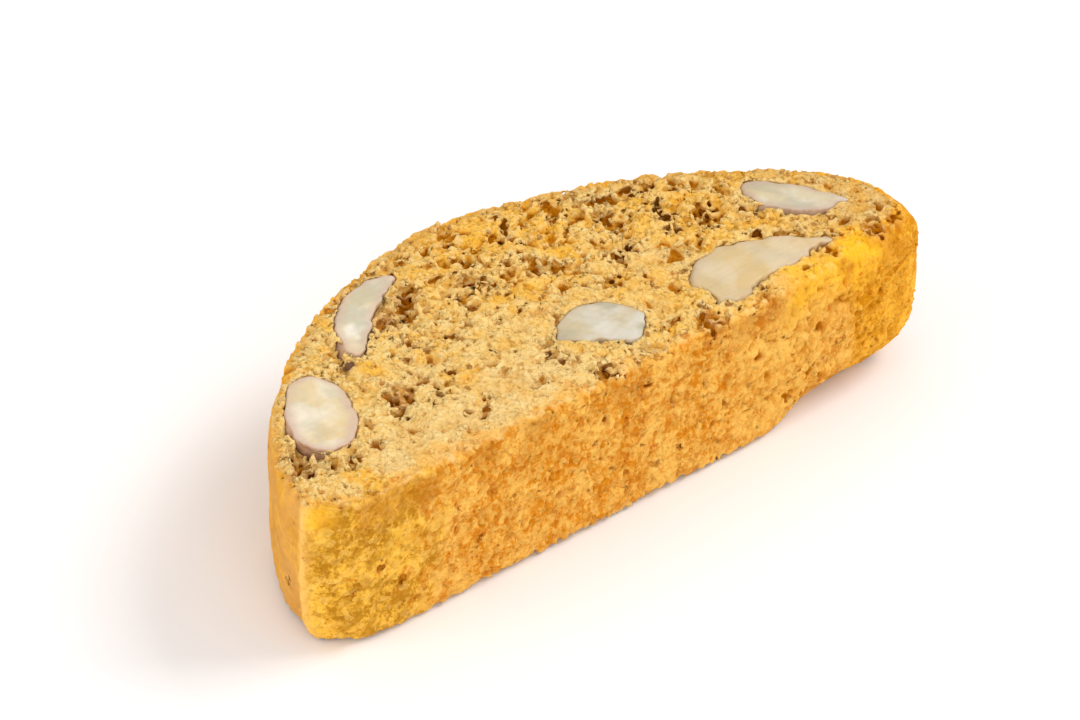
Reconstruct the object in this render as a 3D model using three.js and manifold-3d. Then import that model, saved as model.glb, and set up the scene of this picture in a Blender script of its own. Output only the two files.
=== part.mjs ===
// An almond biscotto: one slice of a low domed loaf, lying on one cut face with the other one up.
// X runs along the slice, -Y is the loaf's flat underside, +Y its dome, and Z the slice's thickness.
// The origin is the middle of the slice's box, on the surface that it lies on.
import * as THREE from "three";
import { mergeVertices } from "three/addons/utils/BufferGeometryUtils.js";
import Module from "manifold-3d";

// Driving dimensions, in millimetres.
const LENGTH = 85; // tip to tip, on the upper cut face
const HEIGHT = 30.1; // of the loaf, from its underside to the top of its dome
const THICKNESS = 19; // of the slice, from cut face to cut face
const SLANT = { left: 2.6, right: 1.6 }; // how far along X the ends of the lower cut face are from the upper one's

// The loaf's section.
const DOME_TOP_X = -3.25; // the dome is highest left of the middle
const DOME_POWER = { left: 1.7, right: 1.6 }; // 2 would be an ellipse, 1 a straight slope
const TIP_RISE = { left: 3.4, right: 5.7 }; // the widest point above the underside
const CORNER_RUN = { left: 5, right: 11.5 }; // from the tip in to the flat underside
const CORNER_POWER = { left: 1.5, right: 2.8 };

// Where the edges of the underside are worn off, towards the right end (1) or the left one (-1): `from` and `to` are
// how far from the middle the wear starts and is full, `depth` how much is gone at the cut face, and `tall` how far
// across the thickness it reaches.
const WEAR = [
  { face: "upper", end: 1, from: 22, to: 36, depth: 1.8, tall: 3 },
  { face: "lower", end: 1, from: 19, to: 31, depth: 3.8, tall: 5 },
  { face: "lower", end: -1, from: 30, to: 40, depth: 1.2, tall: 3 },
];

// The crumb, the crust and the crumbs that the knife broke off.
const CRUST_LUMP = 0.22; // height of the dome's soft swells
const DOME_BULGE = 0.5; // how far the dome stands out in the middle of the slice's thickness
const UNDERSIDE_CRAG = 0.5; // height of the crags of the loaf's rough underside
const CRUMB_GRAIN = 0.2; // height of the roughness of the cut face that is up
const PORE_COUNT = 90;
const PORE_RADIUS = { least: 1.1, most: 1.7 };
const CHIP_COUNT = 28; // bites out of the edges of the cut faces
const CHIP_RADIUS = { least: 0.7, most: 1.5 };
const HOLLOW_DEPTH = 1.3;
const POCKET_GAP = 0.3; // between an almond and the crumb round it

// The large hollows of the upper cut face, as [x, y, radius].
const HOLLOWS = [
  [19.4, 1.7, 1.7],
  [23, -0.8, 1.3],
  [11.4, 0.7, 1.4],
  [3, 3.4, 1.4],
  [-4.2, 4.8, 1.6],
  [-11.6, 8.1, 1.3],
  [-15.7, 5.8, 1.6],
  [-3.6, -12.6, 1.6],
  [10.5, -13.6, 1.6],
  [-6.8, -9.3, 1.3],
  [-18.6, -10.9, 1.1],
  [-23, -4.5, 1.5],
  [-34.2, -9.2, 1.5],
  [-37.6, -7.5, 1.3],
];

// The almonds. Each is cut through by the face that it shows on. `spot` is the middle of what shows there, `deep` how
// far the almond's own middle is inside that face, `heading` the way its length runs, `pitch` how steeply its length
// dives from that face, `size` its length, its width, which stands upright, and its thickness, and `bow` how far its
// rim is bent to the right of its heading.
const ALMONDS = [
  { face: "upper", spot: [31.7, -3.3], deep: 6, heading: 128, pitch: 76, size: [19, 11.6, 5.3], bow: 0.8 },
  { face: "upper", spot: [20, -9.5], deep: 2.6, heading: 3, pitch: 6, size: [19, 12, 7.9], bow: 1.1 },
  { face: "upper", spot: [1.3, -8.3], deep: 3.6, heading: 146, pitch: 74, size: [19, 11.8, 6.6], bow: -2.8 },
  { face: "upper", spot: [-16.8, 8.8], deep: 3.2, heading: 32, pitch: 4, size: [18.3, 11, 4.2], bow: 2.6 },
  { face: "upper", spot: [-31.8, -1.9], deep: 1.2, heading: 58, pitch: 84, size: [17, 11.5, 6.9], bow: 0 },
  { face: "lower", spot: [8, 6.2], deep: 2.4, heading: 158, pitch: 5, size: [20, 12, 7.6], bow: 0.8 },
  { face: "lower", spot: [-18, -6.4], deep: 2.6, heading: 14, pitch: 8, size: [18, 11.5, 7.2], bow: -0.8 },
  { face: "lower", spot: [15, -8.6], deep: 2.2, heading: 174, pitch: 0, size: [17, 9, 6.6], bow: 0.5 },
];
const ALMOND_TAPER = 0.22; // how much an almond's broad end outgrows its tip
const ALMOND_POINT = 0.1; // how much both ends draw in

// The meshes.
const AROUND = 124; // steps around the loaf's section
const ALONG = 12; // steps across the thickness of the slice
const GRID = 1.65; // step of the grid of a cut face
const SPARE = 3; // how far the loaf and the slab reach past each other before they are cut

const wasm = await Module();
wasm.setup();

// A closed three.js geometry as a solid, and back.
function solidOf(geometry) {
  const bare = new THREE.BufferGeometry().setIndex(geometry.index);
  bare.setAttribute("position", geometry.getAttribute("position"));
  const merged = mergeVertices(bare, 1e-4);
  return new wasm.Manifold(
    new wasm.Mesh({
      numProp: 3,
      vertProperties: new Float32Array(merged.attributes.position.array),
      triVerts: new Uint32Array(merged.index.array),
    }),
  );
}

function geometryOf(solid) {
  const mesh = solid.getMesh();
  const geometry = new THREE.BufferGeometry();
  geometry.setAttribute("position", new THREE.BufferAttribute(mesh.vertProperties, 3));
  geometry.setIndex(new THREE.BufferAttribute(mesh.triVerts, 1));
  geometry.computeVertexNormals();
  return geometry;
}

// The nth of a run of even numbers between 0 and 1, the same each time.
function chance(n) {
  const s = Math.sin(n * 12.9898 + 4.1414) * 43758.5453;
  return s - Math.floor(s);
}

function chanceBetween(n, { least, most }) {
  return least + (most - least) * chance(n);
}

// Smooth noise from -1 to 1 that swells about once in each unit of length.
function swell(x, y, z) {
  const cell = [x, y, z].map(Math.floor);
  const part = [x, y, z].map((v, i) => THREE.MathUtils.smoothstep(v - cell[i], 0, 1));
  let sum = 0;
  for (let corner = 0; corner < 8; corner += 1) {
    const step = [corner & 1, (corner >> 1) & 1, (corner >> 2) & 1];
    const at = cell.map((v, i) => v + step[i]);
    const weight = step.reduce((w, on, i) => w * (on ? part[i] : 1 - part[i]), 1);
    sum += weight * (2 * chance(at[0] * 17 + at[1] * 59.3 + at[2] * 113.7) - 1);
  }
  return sum;
}

// A quarter of a superellipse from (1, 0) to (0, 1).
function quarter(turn, power) {
  return [Math.cos(turn) ** (2 / power), Math.sin(turn) ** (2 / power)];
}

// The loaf's section as a closed curve, anticlockwise from the right tip.
class Section extends THREE.Curve {
  getPoint(t, target = new THREE.Vector2()) {
    const stretch = Math.min(Math.floor(t * 4), 3);
    const within = (t * 4 - stretch) * (Math.PI / 2);
    const base = -HEIGHT / 2;
    const side = stretch === 0 || stretch === 3 ? "right" : "left";
    const way = side === "right" ? 1 : -1;
    const tip = [(way * LENGTH) / 2, base + TIP_RISE[side]];
    if (stretch < 2) {
      const turn = stretch === 0 ? within : Math.PI / 2 - within;
      const [out, up] = quarter(turn, DOME_POWER[side]);
      return target.set(
        DOME_TOP_X + out * (tip[0] - DOME_TOP_X),
        tip[1] + up * (HEIGHT / 2 - tip[1]),
      );
    }
    const turn = stretch === 2 ? within : Math.PI / 2 - within;
    const [out, down] = quarter(turn, CORNER_POWER[side]);
    const inner = tip[0] - way * CORNER_RUN[side];
    return target.set(inner + out * (tip[0] - inner), tip[1] - down * TIP_RISE[side]);
  }
}

// The section in even steps, with the flat underside between the two corners filled in.
function sectionPoints() {
  const dense = new Section().getPoints(1600);
  const shape = new THREE.Shape(dense);
  return shape.getSpacedPoints(AROUND).slice(0, AROUND);
}

// How much is worn off the loaf's side at a point of it.
function wornOff(x, y, z) {
  const low = THREE.MathUtils.smoothstep(-y, 2, 11);
  const amounts = WEAR.map(({ face, end, from, to, depth, tall }) => {
    const along = THREE.MathUtils.smoothstep(end * x, from, to);
    const inside = face === "upper" ? THICKNESS - z : z;
    return depth * low * along * THREE.MathUtils.clamp(1 - inside / tall, 0, 1) ** 1.4;
  });
  return Math.max(...amounts);
}

// How far the crust stands out of the section at a point of the loaf's side.
function crustRelief(x, y, z) {
  const under = THREE.MathUtils.smoothstep(-y, HEIGHT / 2 - 3, HEIGHT / 2 - 0.8);
  const crag = 0.6 * swell(x / 2.6, y / 2.6, z / 2.6) + 0.4 * swell(x / 1.5 + 40, y / 1.5, z / 1.5);
  const lump = 0.7 * swell(x / 7, y / 7, z / 9 + 20) + 0.3 * swell(x / 2.6, y / 2.6 + 30, z / 3);
  const bulge = DOME_BULGE * Math.max(0, 1 - ((2 * z) / THICKNESS - 1) ** 2);
  return under * UNDERSIDE_CRAG * crag + (1 - under) * (CRUST_LUMP * lump + bulge) - wornOff(x, y, z);
}

// How far the slant of the cut shifts a point of the loaf's side along X.
function slantAt(x, z) {
  return THREE.MathUtils.lerp(SLANT.left, SLANT.right, 0.5 + x / LENGTH) * (1 - z / THICKNESS);
}

// A length of the loaf, longer than the slice is thick.
function loafSolid() {
  const points = sectionPoints();
  const tall = THICKNESS + 2 * SPARE;
  const loaf = new THREE.CylinderGeometry(1, 1, tall, AROUND, ALONG + 2);
  const position = loaf.attributes.position;
  for (let i = 0; i < position.count; i += 1) {
    const z = position.getY(i) + THICKNESS / 2;
    const onAxis = Math.hypot(position.getX(i), position.getZ(i)) < 0.5;
    const around = Math.atan2(-position.getZ(i), position.getX(i)) / (2 * Math.PI);
    const k = (Math.round(around * AROUND) + AROUND) % AROUND;
    const here = onAxis ? new THREE.Vector2(DOME_TOP_X, 0) : points[k].clone();
    if (!onAxis) {
      const ahead = points[(k + 1) % AROUND];
      const behind = points[(k + AROUND - 1) % AROUND];
      const out = new THREE.Vector2(ahead.y - behind.y, behind.x - ahead.x).normalize();
      here.addScaledVector(out, crustRelief(here.x, here.y, z));
    }
    position.setXYZ(i, here.x + slantAt(here.x, z), here.y, z);
  }
  return solidOf(loaf);
}

// The pores of both cut faces, as {face, x, y, radius, depth}.
function pores() {
  const all = HOLLOWS.map(([x, y, radius]) => ({ face: "upper", x, y, radius, depth: HOLLOW_DEPTH }));
  for (let n = 0; n < PORE_COUNT; n += 1) {
    const radius = chanceBetween(n + 0.3, PORE_RADIUS);
    all.push({
      face: n % 2 ? "upper" : "lower",
      x: (chance(n + 0.1) - 0.5) * LENGTH,
      y: (chance(n + 0.2) - 0.5) * HEIGHT,
      radius,
      depth: 0.5 * radius,
    });
  }
  return all;
}

// The slab between the two cuts: its upper face is rough and pitted, its lower one flat with pits.
function slabSolid() {
  const wide = LENGTH + 2 * SPARE;
  const deep = HEIGHT + 2 * SPARE;
  const slab = new THREE.BoxGeometry(
    wide,
    deep,
    THICKNESS,
    Math.round(wide / GRID),
    Math.round(deep / GRID),
    1,
  );
  const pits = pores();
  const position = slab.attributes.position;
  for (let i = 0; i < position.count; i += 1) {
    const x = position.getX(i);
    const y = position.getY(i);
    const face = position.getZ(i) > 0 ? "upper" : "lower";
    let pit = 0;
    for (const p of pits) {
      const reach = Math.hypot(x - p.x, y - p.y) / p.radius;
      if (p.face === face && reach < 1) pit = Math.max(pit, p.depth * (1 - reach * reach));
    }
    const rough = 0.6 * swell(x / 2.3, y / 2.3, 7.5) + 0.4 * swell(x / 1.3, y / 1.3, 3.5);
    const z = face === "upper" ? THICKNESS + CRUMB_GRAIN * rough - pit : pit;
    position.setXYZ(i, x, y, z);
  }
  return solidOf(slab);
}

// The chips: small lumps of crumb missing from the edges of both cut faces.
function chipSolids() {
  const points = sectionPoints();
  const made = [];
  for (let n = 0; n < CHIP_COUNT; n += 1) {
    const upper = n % 2 === 0;
    const at = points[Math.floor(chance(n + 0.5) * AROUND)];
    const radius = chanceBetween(n + 0.6, CHIP_RADIUS);
    const out = 1 + (0.35 * radius) / Math.hypot(at.x, at.y);
    const slant = upper ? 0 : slantAt(at.x, 0);
    const chip = new THREE.IcosahedronGeometry(radius, 1);
    chip.scale(1 + 0.6 * chance(n + 0.7), 1, 0.8);
    chip.rotateZ(Math.PI * chance(n + 0.8));
    chip.translate(at.x * out + slant, at.y * out, upper ? THICKNESS + 0.25 * radius : -0.25 * radius);
    made.push(solidOf(chip));
  }
  return made;
}

// A whole almond round the origin, its tip towards +X, its broad sides facing Z and its rim bent up by `bow`.
function kernelGeometry([length, width, thickness], bow) {
  const kernel = new THREE.SphereGeometry(1, 16, 10);
  kernel.rotateZ(-Math.PI / 2);
  const position = kernel.attributes.position;
  for (let i = 0; i < position.count; i += 1) {
    const [x, y, z] = [position.getX(i), position.getY(i), position.getZ(i)];
    const taper = (1 - ALMOND_TAPER * x) * (1 - ALMOND_POINT * x * x);
    const bent = bow * (x * x + y * y - 0.4);
    position.setXYZ(i, (x * length) / 2, (y * taper * width) / 2, (z * taper * thickness) / 2 + bent);
  }
  return kernel;
}

// An almond in its place, grown by `gap` all round.
function placedAlmond({ face, spot, deep, heading, pitch, size, bow }, gap) {
  const kernel = kernelGeometry(
    size.map((v) => v + 2 * gap),
    bow,
  );
  const dive = THREE.MathUtils.degToRad(pitch);
  const way = THREE.MathUtils.degToRad(heading);
  const [longSquare, wideSquare] = size.map((v) => (v / 2) ** 2);
  const upSquare = longSquare * Math.sin(dive) ** 2 + wideSquare * Math.cos(dive) ** 2;
  const lean = (deep * (longSquare - wideSquare) * Math.sin(dive) * Math.cos(dive)) / upSquare;
  kernel.rotateX(Math.PI / 2);
  kernel.rotateY(face === "upper" ? dive : -dive);
  kernel.translate(lean, 0, face === "upper" ? THICKNESS - deep : deep);
  kernel.rotateZ(way);
  kernel.translate(spot[0], spot[1], 0);
  return solidOf(kernel);
}

// The space between the two cuts, plain and flat.
function betweenCuts() {
  const block = new THREE.BoxGeometry(LENGTH * 2, HEIGHT * 2, THICKNESS);
  block.translate(0, 0, THICKNESS / 2);
  return solidOf(block);
}

function biscuitSolid() {
  let biscuit = loafSolid().intersect(slabSolid());
  for (const chip of chipSolids()) biscuit = biscuit.subtract(chip);
  for (const almond of ALMONDS) biscuit = biscuit.subtract(placedAlmond(almond, POCKET_GAP));
  return biscuit.decompose().sort((a, b) => b.volume() - a.volume())[0];
}

function almondSolids() {
  const cuts = betweenCuts();
  return ALMONDS.map((almond) => placedAlmond(almond, 0).intersect(cuts));
}

const crumbFinish = new THREE.MeshStandardMaterial({ color: 0xdfb160, roughness: 0.9, metalness: 0 });
const almondFinish = new THREE.MeshStandardMaterial({ color: 0xe9d8b4, roughness: 0.55, metalness: 0 });

function named(name, solid, finish) {
  const mesh = new THREE.Mesh(geometryOf(solid), finish);
  mesh.name = name;
  return mesh;
}

const biscotto = new THREE.Group();
const biscuit = named("biscuit", biscuitSolid(), crumbFinish);
biscotto.add(biscuit);
almondSolids().forEach((solid, n) => biscotto.add(named(`almond_${n + 1}`, solid, almondFinish)));

// The box of the slice is set over the origin.
const box = new THREE.Box3().setFromObject(biscuit);
biscotto.position.set(-(box.min.x + box.max.x) / 2, -(box.min.y + box.max.y) / 2, -box.min.z);

export default biscotto;
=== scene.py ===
"""An almond biscotto: one slice of a low domed loaf, lying on a pale floor with one cut face up."""

import collections
import functools
import itertools
import math

import bpy
import numpy as np
from mathutils import Matrix, Vector


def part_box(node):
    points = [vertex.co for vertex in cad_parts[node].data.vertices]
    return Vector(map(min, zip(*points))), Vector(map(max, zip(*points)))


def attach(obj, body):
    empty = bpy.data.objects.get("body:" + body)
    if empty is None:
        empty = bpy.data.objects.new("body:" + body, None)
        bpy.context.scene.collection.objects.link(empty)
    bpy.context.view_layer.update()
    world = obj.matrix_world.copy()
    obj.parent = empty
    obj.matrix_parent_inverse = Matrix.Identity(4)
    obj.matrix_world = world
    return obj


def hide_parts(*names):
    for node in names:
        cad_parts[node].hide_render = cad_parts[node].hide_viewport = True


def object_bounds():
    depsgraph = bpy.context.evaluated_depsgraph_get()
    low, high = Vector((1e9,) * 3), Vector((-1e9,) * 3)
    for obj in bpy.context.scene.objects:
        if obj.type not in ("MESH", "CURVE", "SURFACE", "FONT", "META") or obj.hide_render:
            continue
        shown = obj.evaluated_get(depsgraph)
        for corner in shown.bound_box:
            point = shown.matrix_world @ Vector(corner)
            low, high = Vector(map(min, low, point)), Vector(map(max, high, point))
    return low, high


bl_info = {
    "name": "Almond biscotto",
    "version": (1, 0, 0),
    "blender": (4, 5, 0),
    "location": "View3D > Sidebar > Biscotto",
    "description": "Bakes an almond biscotto round its CAD frame: crumb, crust, almonds and stuck crumbs",
    "category": "Add Mesh",
}

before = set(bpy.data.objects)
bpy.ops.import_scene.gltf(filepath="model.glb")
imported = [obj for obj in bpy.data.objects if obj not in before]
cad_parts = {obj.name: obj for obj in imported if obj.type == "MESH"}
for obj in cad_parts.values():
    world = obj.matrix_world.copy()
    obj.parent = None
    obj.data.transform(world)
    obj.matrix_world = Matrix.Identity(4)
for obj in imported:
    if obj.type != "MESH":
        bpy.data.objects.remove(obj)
CAD_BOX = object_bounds()

# --- The slice, in millimetres, in the loaf's own frame ---

MM = 0.001
LENGTH = 85.0
HEIGHT = 30.1
BASE = -HEIGHT / 2
THICKNESS = 19.0
DOME_TOP_X = -3.25
DOME_BULGE = 0.5
SPARE = 1.6  # room round the slice on its grid
RELIEF_REACH = 1.3  # how far from the plain slice its grains may lie

# How far the cut is slanted at the two ends, then the shapes of the left (-1) and right (1) end.
SLANT = (2.6, 1.6)
DOME_POWER = {-1: 1.7, 1: 1.6}
TIP_RISE = {-1: 3.4, 1: 5.7}
CORNER_RUN = {-1: 5.0, 1: 11.5}
CORNER_POWER = {-1: 1.5, 1: 2.8}

# Worn edges: face, end of the slice, where the wear starts and is full, its depth and its reach.
WEAR = (
    ("upper", 1, 22, 36, 1.8, 3),
    ("lower", 1, 19, 31, 3.8, 5),
    ("lower", -1, 30, 40, 1.2, 3),
)

# The hollows of the upper cut face, as x, y, half length, half width, heading in degrees.
HOLLOWS = (
    (-38.3, -6.8, 3.6, 1.5, 50), (-33.6, -8.9, 2.2, 0.9, 38), (-30.3, -8.8, 0.8, 0.6, 68),
    (-31.0, 5.0, 2.4, 0.8, 26), (-23.8, 4.8, 3.4, 0.8, 78), (-23.8, -4.8, 2.0, 1.4, 56),
    (-21.0, -7.2, 1.3, 0.5, 30), (-19.1, -5.3, 1.9, 0.9, 108), (-18.9, 10.8, 2.4, 0.7, 20),
    (-18.2, -10.8, 2.0, 0.7, 37), (-17.2, -2.1, 1.0, 0.6, 54), (-16.7, 0.9, 1.4, 0.8, 110),
    (-16.2, 5.4, 2.0, 1.0, 33), (-12.8, -0.3, 1.7, 0.8, 110), (-12.6, -7.6, 1.1, 0.5, 31),
    (-12.2, 7.2, 1.9, 1.1, 55), (-11.8, 3.3, 1.3, 0.8, 60), (-11.1, -11.2, 1.0, 0.6, 175),
    (-10.3, 12.0, 2.0, 0.8, 17), (-10.1, 0.2, 1.0, 0.6, 30), (-7.1, -10.1, 1.4, 0.8, 20),
    (-6.0, -7.2, 1.6, 0.7, 59), (-6.4, 6.3, 1.0, 0.5, 1), (-5.0, 12.6, 0.9, 0.6, 24),
    (-4.2, 4.3, 2.2, 1.1, 100), (-4.0, -13.6, 1.5, 1.1, 0), (-3.6, 8.8, 1.4, 0.8, 149),
    (-1.6, -9.6, 0.8, 0.5, 20), (-2.0, -4.0, 1.3, 0.5, 43), (-1.6, 12.2, 1.8, 0.8, 43),
    (-0.6, -11.0, 0.8, 0.5, 0), (-0.6, 9.4, 1.0, 0.6, 60), (1.2, -12.2, 1.0, 0.6, 10),
    (1.6, -1.1, 1.2, 0.6, 33), (3.1, 3.2, 1.9, 1.3, 168), (3.5, 9.9, 1.8, 1.2, 23),
    (6.3, -3.6, 0.8, 0.7, 0), (6.8, 10.0, 1.8, 0.6, 33), (6.6, 1.4, 1.3, 0.5, 23),
    (7.1, 6.4, 2.0, 0.7, 46), (10.6, -13.8, 1.8, 1.2, 63), (10.7, 0.4, 1.9, 1.0, 28),
    (10.8, 9.2, 1.6, 1.1, 62), (11.6, -7.4, 1.0, 0.6, 30), (13.7, 5.1, 2.6, 1.2, 94),
    (15.4, -3.4, 1.0, 0.7, 25), (16.3, 8.4, 2.0, 1.1, 161), (18.2, -13.3, 1.0, 0.5, 50),
    (18.7, -3.5, 1.5, 0.5, 43), (19.2, 1.6, 2.6, 1.9, 69), (19.9, 7.4, 1.9, 1.1, 150),
    (22.8, -0.8, 2.4, 1.4, 63), (24.4, 4.6, 1.8, 0.9, 140), (27.0, -2.6, 1.5, 0.9, 115),
    (26.9, 1.6, 1.1, 0.5, 94), (28.3, -8.4, 1.0, 0.6, 108), (29.0, -12.4, 0.9, 0.6, 70),
    (29.6, -6.2, 0.7, 0.5, 79), (35.4, -12.4, 1.6, 1.0, 4), (38.6, -12.2, 1.3, 0.7, 20),
)

# The almonds. The flesh is how yellow it is, how bright, and how strong its skin.
Almond = collections.namedtuple("Almond", "face spot deep heading pitch size bow flesh")
ALMONDS = (
    Almond("upper", (31.7, -3.3), 6.0, 128, 76, (19.0, 11.6, 5.3), 0.8, (0.3, 0.88, 0.8)),
    Almond("upper", (20.0, -9.5), 2.6, 3, 6, (19.0, 12.0, 7.9), 1.1, (0.95, 0.92, 0.4)),
    Almond("upper", (1.3, -8.3), 3.6, 146, 74, (19.0, 11.8, 6.6), -2.8, (0.35, 0.79, 0.25)),
    Almond("upper", (-16.8, 8.8), 3.2, 32, 4, (18.3, 11.0, 4.2), 2.6, (0.25, 1.0, 0.7)),
    Almond("upper", (-31.8, -1.9), 1.2, 58, 84, (17.0, 11.5, 6.9), 0.0, (0.55, 1.03, 1.0)),
    Almond("lower", (8.0, 6.2), 2.4, 158, 5, (20.0, 12.0, 7.6), 0.8, (0.6, 0.9, 0.9)),
    Almond("lower", (-18.0, -6.4), 2.6, 14, 8, (18.0, 11.5, 7.2), -0.8, (0.3, 0.85, 0.8)),
    Almond("lower", (15.0, -8.6), 2.2, 174, 0, (17.0, 9.0, 6.6), 0.5, (0.7, 0.9, 0.9)),
)
ALMOND_TAPER = 0.22
ALMOND_POINT = 0.1
ALMOND_TRIANGLES = 14000
ALMOND_CLEARANCE = 0.5  # from an almond to the nearest pore or stuck grain
POCKET_REACH = 13.5
FRAME_RINGS = (16, 10)  # corners round and along the CAD almonds

# Bits that are missing from the cut edge of an almond, as x, y, radius. Crumb fills them.
NICKS = {
    1: ((27.6, 0.9, 1.0),),
    2: ((9.1, -11.0, 4.0), (19.5, -13.3, 1.7), (22.4, -15.0, 2.8), (25.2, -14.0, 2.0)),
    3: ((8.5, -15.5, 6.4), (-4.3, -9.6, 1.7), (-1.7, -10.2, 1.2), (-0.3, -11.6, 1.0), (1.4, -12.7, 0.9)),
    4: ((-10.1, 12.6, 1.1),),
}

# Slivers that taper off from the cut edge of an almond, as start, end, radius at the start.
SLIVERS = {1: ((34.4, -5.6), (36.5, -7.5), 1.3), 2: ((24.5, -9.7), (29.9, -10.8), 1.9)}

# Patches of fine, tight crumb, as two ends of a line, a reach and how fine it is.
FINE_CRUMB = (
    ((-24.0, -6.0), (0.0, -5.0), 5.0, 0.35),
    ((-29.0, -11.5), (-9.0, -10.0), 4.2, 0.85),
    ((7.0, -8.5), (13.0, -3.5), 2.5, 0.5),
    ((21.0, -14.2), (31.0, -13.4), 1.8, 1.0),
    ((35.5, -8.0), (39.0, -8.0), 2.0, 0.45),
)

# Spots of the upper cut face darkened over its larger hollows, as x, y, radius: painted shade in the hollows,
# with some scorching.
HOLLOW_SHADES = (
    (35.4, -12.6, 1.5), (38.7, -12.3, 1.2), (10.5, -13.6, 2.0), (-12.3, 7.7, 1.6),
    (-15.9, 5.4, 1.8), (-23.4, -4.6, 2.0), (-38.6, -7.8, 1.6),
)

# Two kinds of packed grains, as size and seed, and how far their outlines stray.
COARSE_GRAIN = (1.05, 301)
SANDY_GRAIN = (0.6, 302)
STRAY = 0.22

SMOOTH_END = (25.0, 31.0)  # how far to the left the underside turns smooth
CHIPS = 90
BIG_CHIPS = 28
PORE_SIZES = (0.3, 0.8)
DOME_PINHOLES = 0.12  # the share of them that is kept
GRAIN_SHAPES = 6
GRAIN_SEED = 91
GRAIN_TOP = (0.32, 0.2)  # heights over the cut face where no grain lies, and where they start to thin out
LUMP_SIZE = 4.44  # of a lump of noise, in spreads of the blur that makes it
SHOWN_DEPTH = 4.0  # below the upper cut face, and the height on the loaf, down to which and
SHOWN_EDGE = -9.0  # below which the crumb gets its finer triangles

# --- The stage, in metres ---

FLOOR_HALF = 4.0
FLOOR_LEVEL = -0.00005
SKY = (1.0, 0.99, 0.985, 1.0)
SKY_STRENGTH = 0.69
SOFTBOXES = {  # place, size, power
    "key_softbox": ((0.60, -0.22, 0.72), 0.45, 4.6),
    "front_softbox": ((-0.5, -0.7, 0.5), 0.7, 2.6),
    "left_softbox": ((-0.8, 0.15, 0.45), 0.6, 2.6),
}


# --- Settings ---

def length_property(name, about, default):
    return bpy.props.FloatProperty(
        name=name, description=about, default=default, min=0.0, subtype="DISTANCE", unit="LENGTH"
    )


def count_property(name, about, default, least=0):
    return bpy.props.IntProperty(name=name, description=about, default=default, min=least)


def colour_property(name, what, default):
    return bpy.props.FloatVectorProperty(
        name=name, description=f"Colour of {what}", default=default, size=3, min=0.0, max=1.0, subtype="COLOR"
    )


class BiscottoCrumbSettings(bpy.types.PropertyGroup):
    """The open crumb of the two cut faces."""

    grid_step: length_property("Grid step", "Step of the grid that the crumb is carved on", 0.22 * MM)
    shown_triangles: count_property(
        "Shown triangles", "Most triangles of the upper cut face and the underside", 150000, 1000
    )
    other_triangles: count_property(
        "Other triangles", "Most triangles of the lower cut face and the dome", 46000, 1000
    )
    pores: count_property("Pores", "Number of draws for round pores in each cut face", 160)
    pale: colour_property("Pale crumb", "the palest crumb", (0.88, 0.625, 0.235))
    gold: colour_property("Golden crumb", "the darker crumb", (0.79, 0.43, 0.066))
    amber: colour_property("Amber crumb", "the amber patches", (0.90, 0.45, 0.022))
    # painted highlight: the paler colour on the tops of the grains
    crest: colour_property("Crests", "the tops of the grains", (0.92, 0.70, 0.34))
    fine: colour_property("Fine crumb", "the patches of fine crumb", (0.83, 0.595, 0.265))
    fleck: colour_property("Flecks", "the bits of skin in the crumb", (0.33, 0.13, 0.03))
    # painted shade: the dark colour of the finest pores, which only the bump draws
    shaded_pore: colour_property("Pores", "the finest pores", (0.54, 0.215, 0.006))
    # painted shade: the darker, more saturated colour of crumb deep in pores and hollows
    pit: colour_property("Pits", "the crumb deep in the pores", (0.55, 0.192, 0.001))
    grains: count_property("Stuck grains", "Number of grains for each square centimetre", 70)
    grain_size: length_property("Grain size", "Usual radius of a stuck grain", 0.20 * MM)


class BiscottoCrustSettings(bpy.types.PropertyGroup):
    """The baked outside of the loaf."""

    orange: colour_property("Toasted", "the toasted underside", (0.70, 0.24, 0.008))
    blotch: colour_property("Blotches", "the darker blotches of the underside", (0.58, 0.165, 0.003))
    sandy: colour_property("Sandy", "the paler grains of the underside", (0.95, 0.525, 0.105))
    crisp: colour_property("Crisp grains", "the palest grains of the underside", (0.97, 0.60, 0.14))
    bleed: colour_property("Edge", "the crumb next to the underside", (0.90, 0.45, 0.09))
    golden: colour_property("Golden", "the smoother golden underside", (1.0, 0.55, 0.065))
    olive: colour_property("Olive", "the darker part of the smooth underside", (0.50, 0.215, 0.010))
    bright: colour_property("Bright", "the bright toasted end", (1.0, 0.50, 0.05))
    deep: colour_property("Deep toast", "the darker streaks of the toasted end", (0.64, 0.24, 0.004))
    glow: colour_property("Glow", "the brightest toasted spots", (1.0, 0.53, 0.018))
    strip: colour_property("Left end", "the pale left end of the dome", (0.68, 0.335, 0.095))
    # painted highlight: the bright line along the corner edge of the left end
    corner: colour_property("Corner", "the bright corner edge", (0.96, 0.56, 0.15))
    dome: colour_property("Dome", "the smooth dome", (0.68, 0.30, 0.024))
    dome_pale: colour_property("Pale dome", "the paler parts of the dome", (0.89, 0.45, 0.050))
    rim: colour_property("Rim", "the crumb next to the dome", (0.52, 0.25, 0.06))
    # scorched crust, and painted shade over the larger hollows of the cut face
    scorch: colour_property("Scorched", "the scorched spots", (0.52, 0.17, 0.012))
    speck: colour_property("Specks", "the dark specks", (0.24, 0.08, 0.014))
    pinholes: count_property("Pinholes", "Number of draws for pinholes in the crust", 110)


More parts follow.
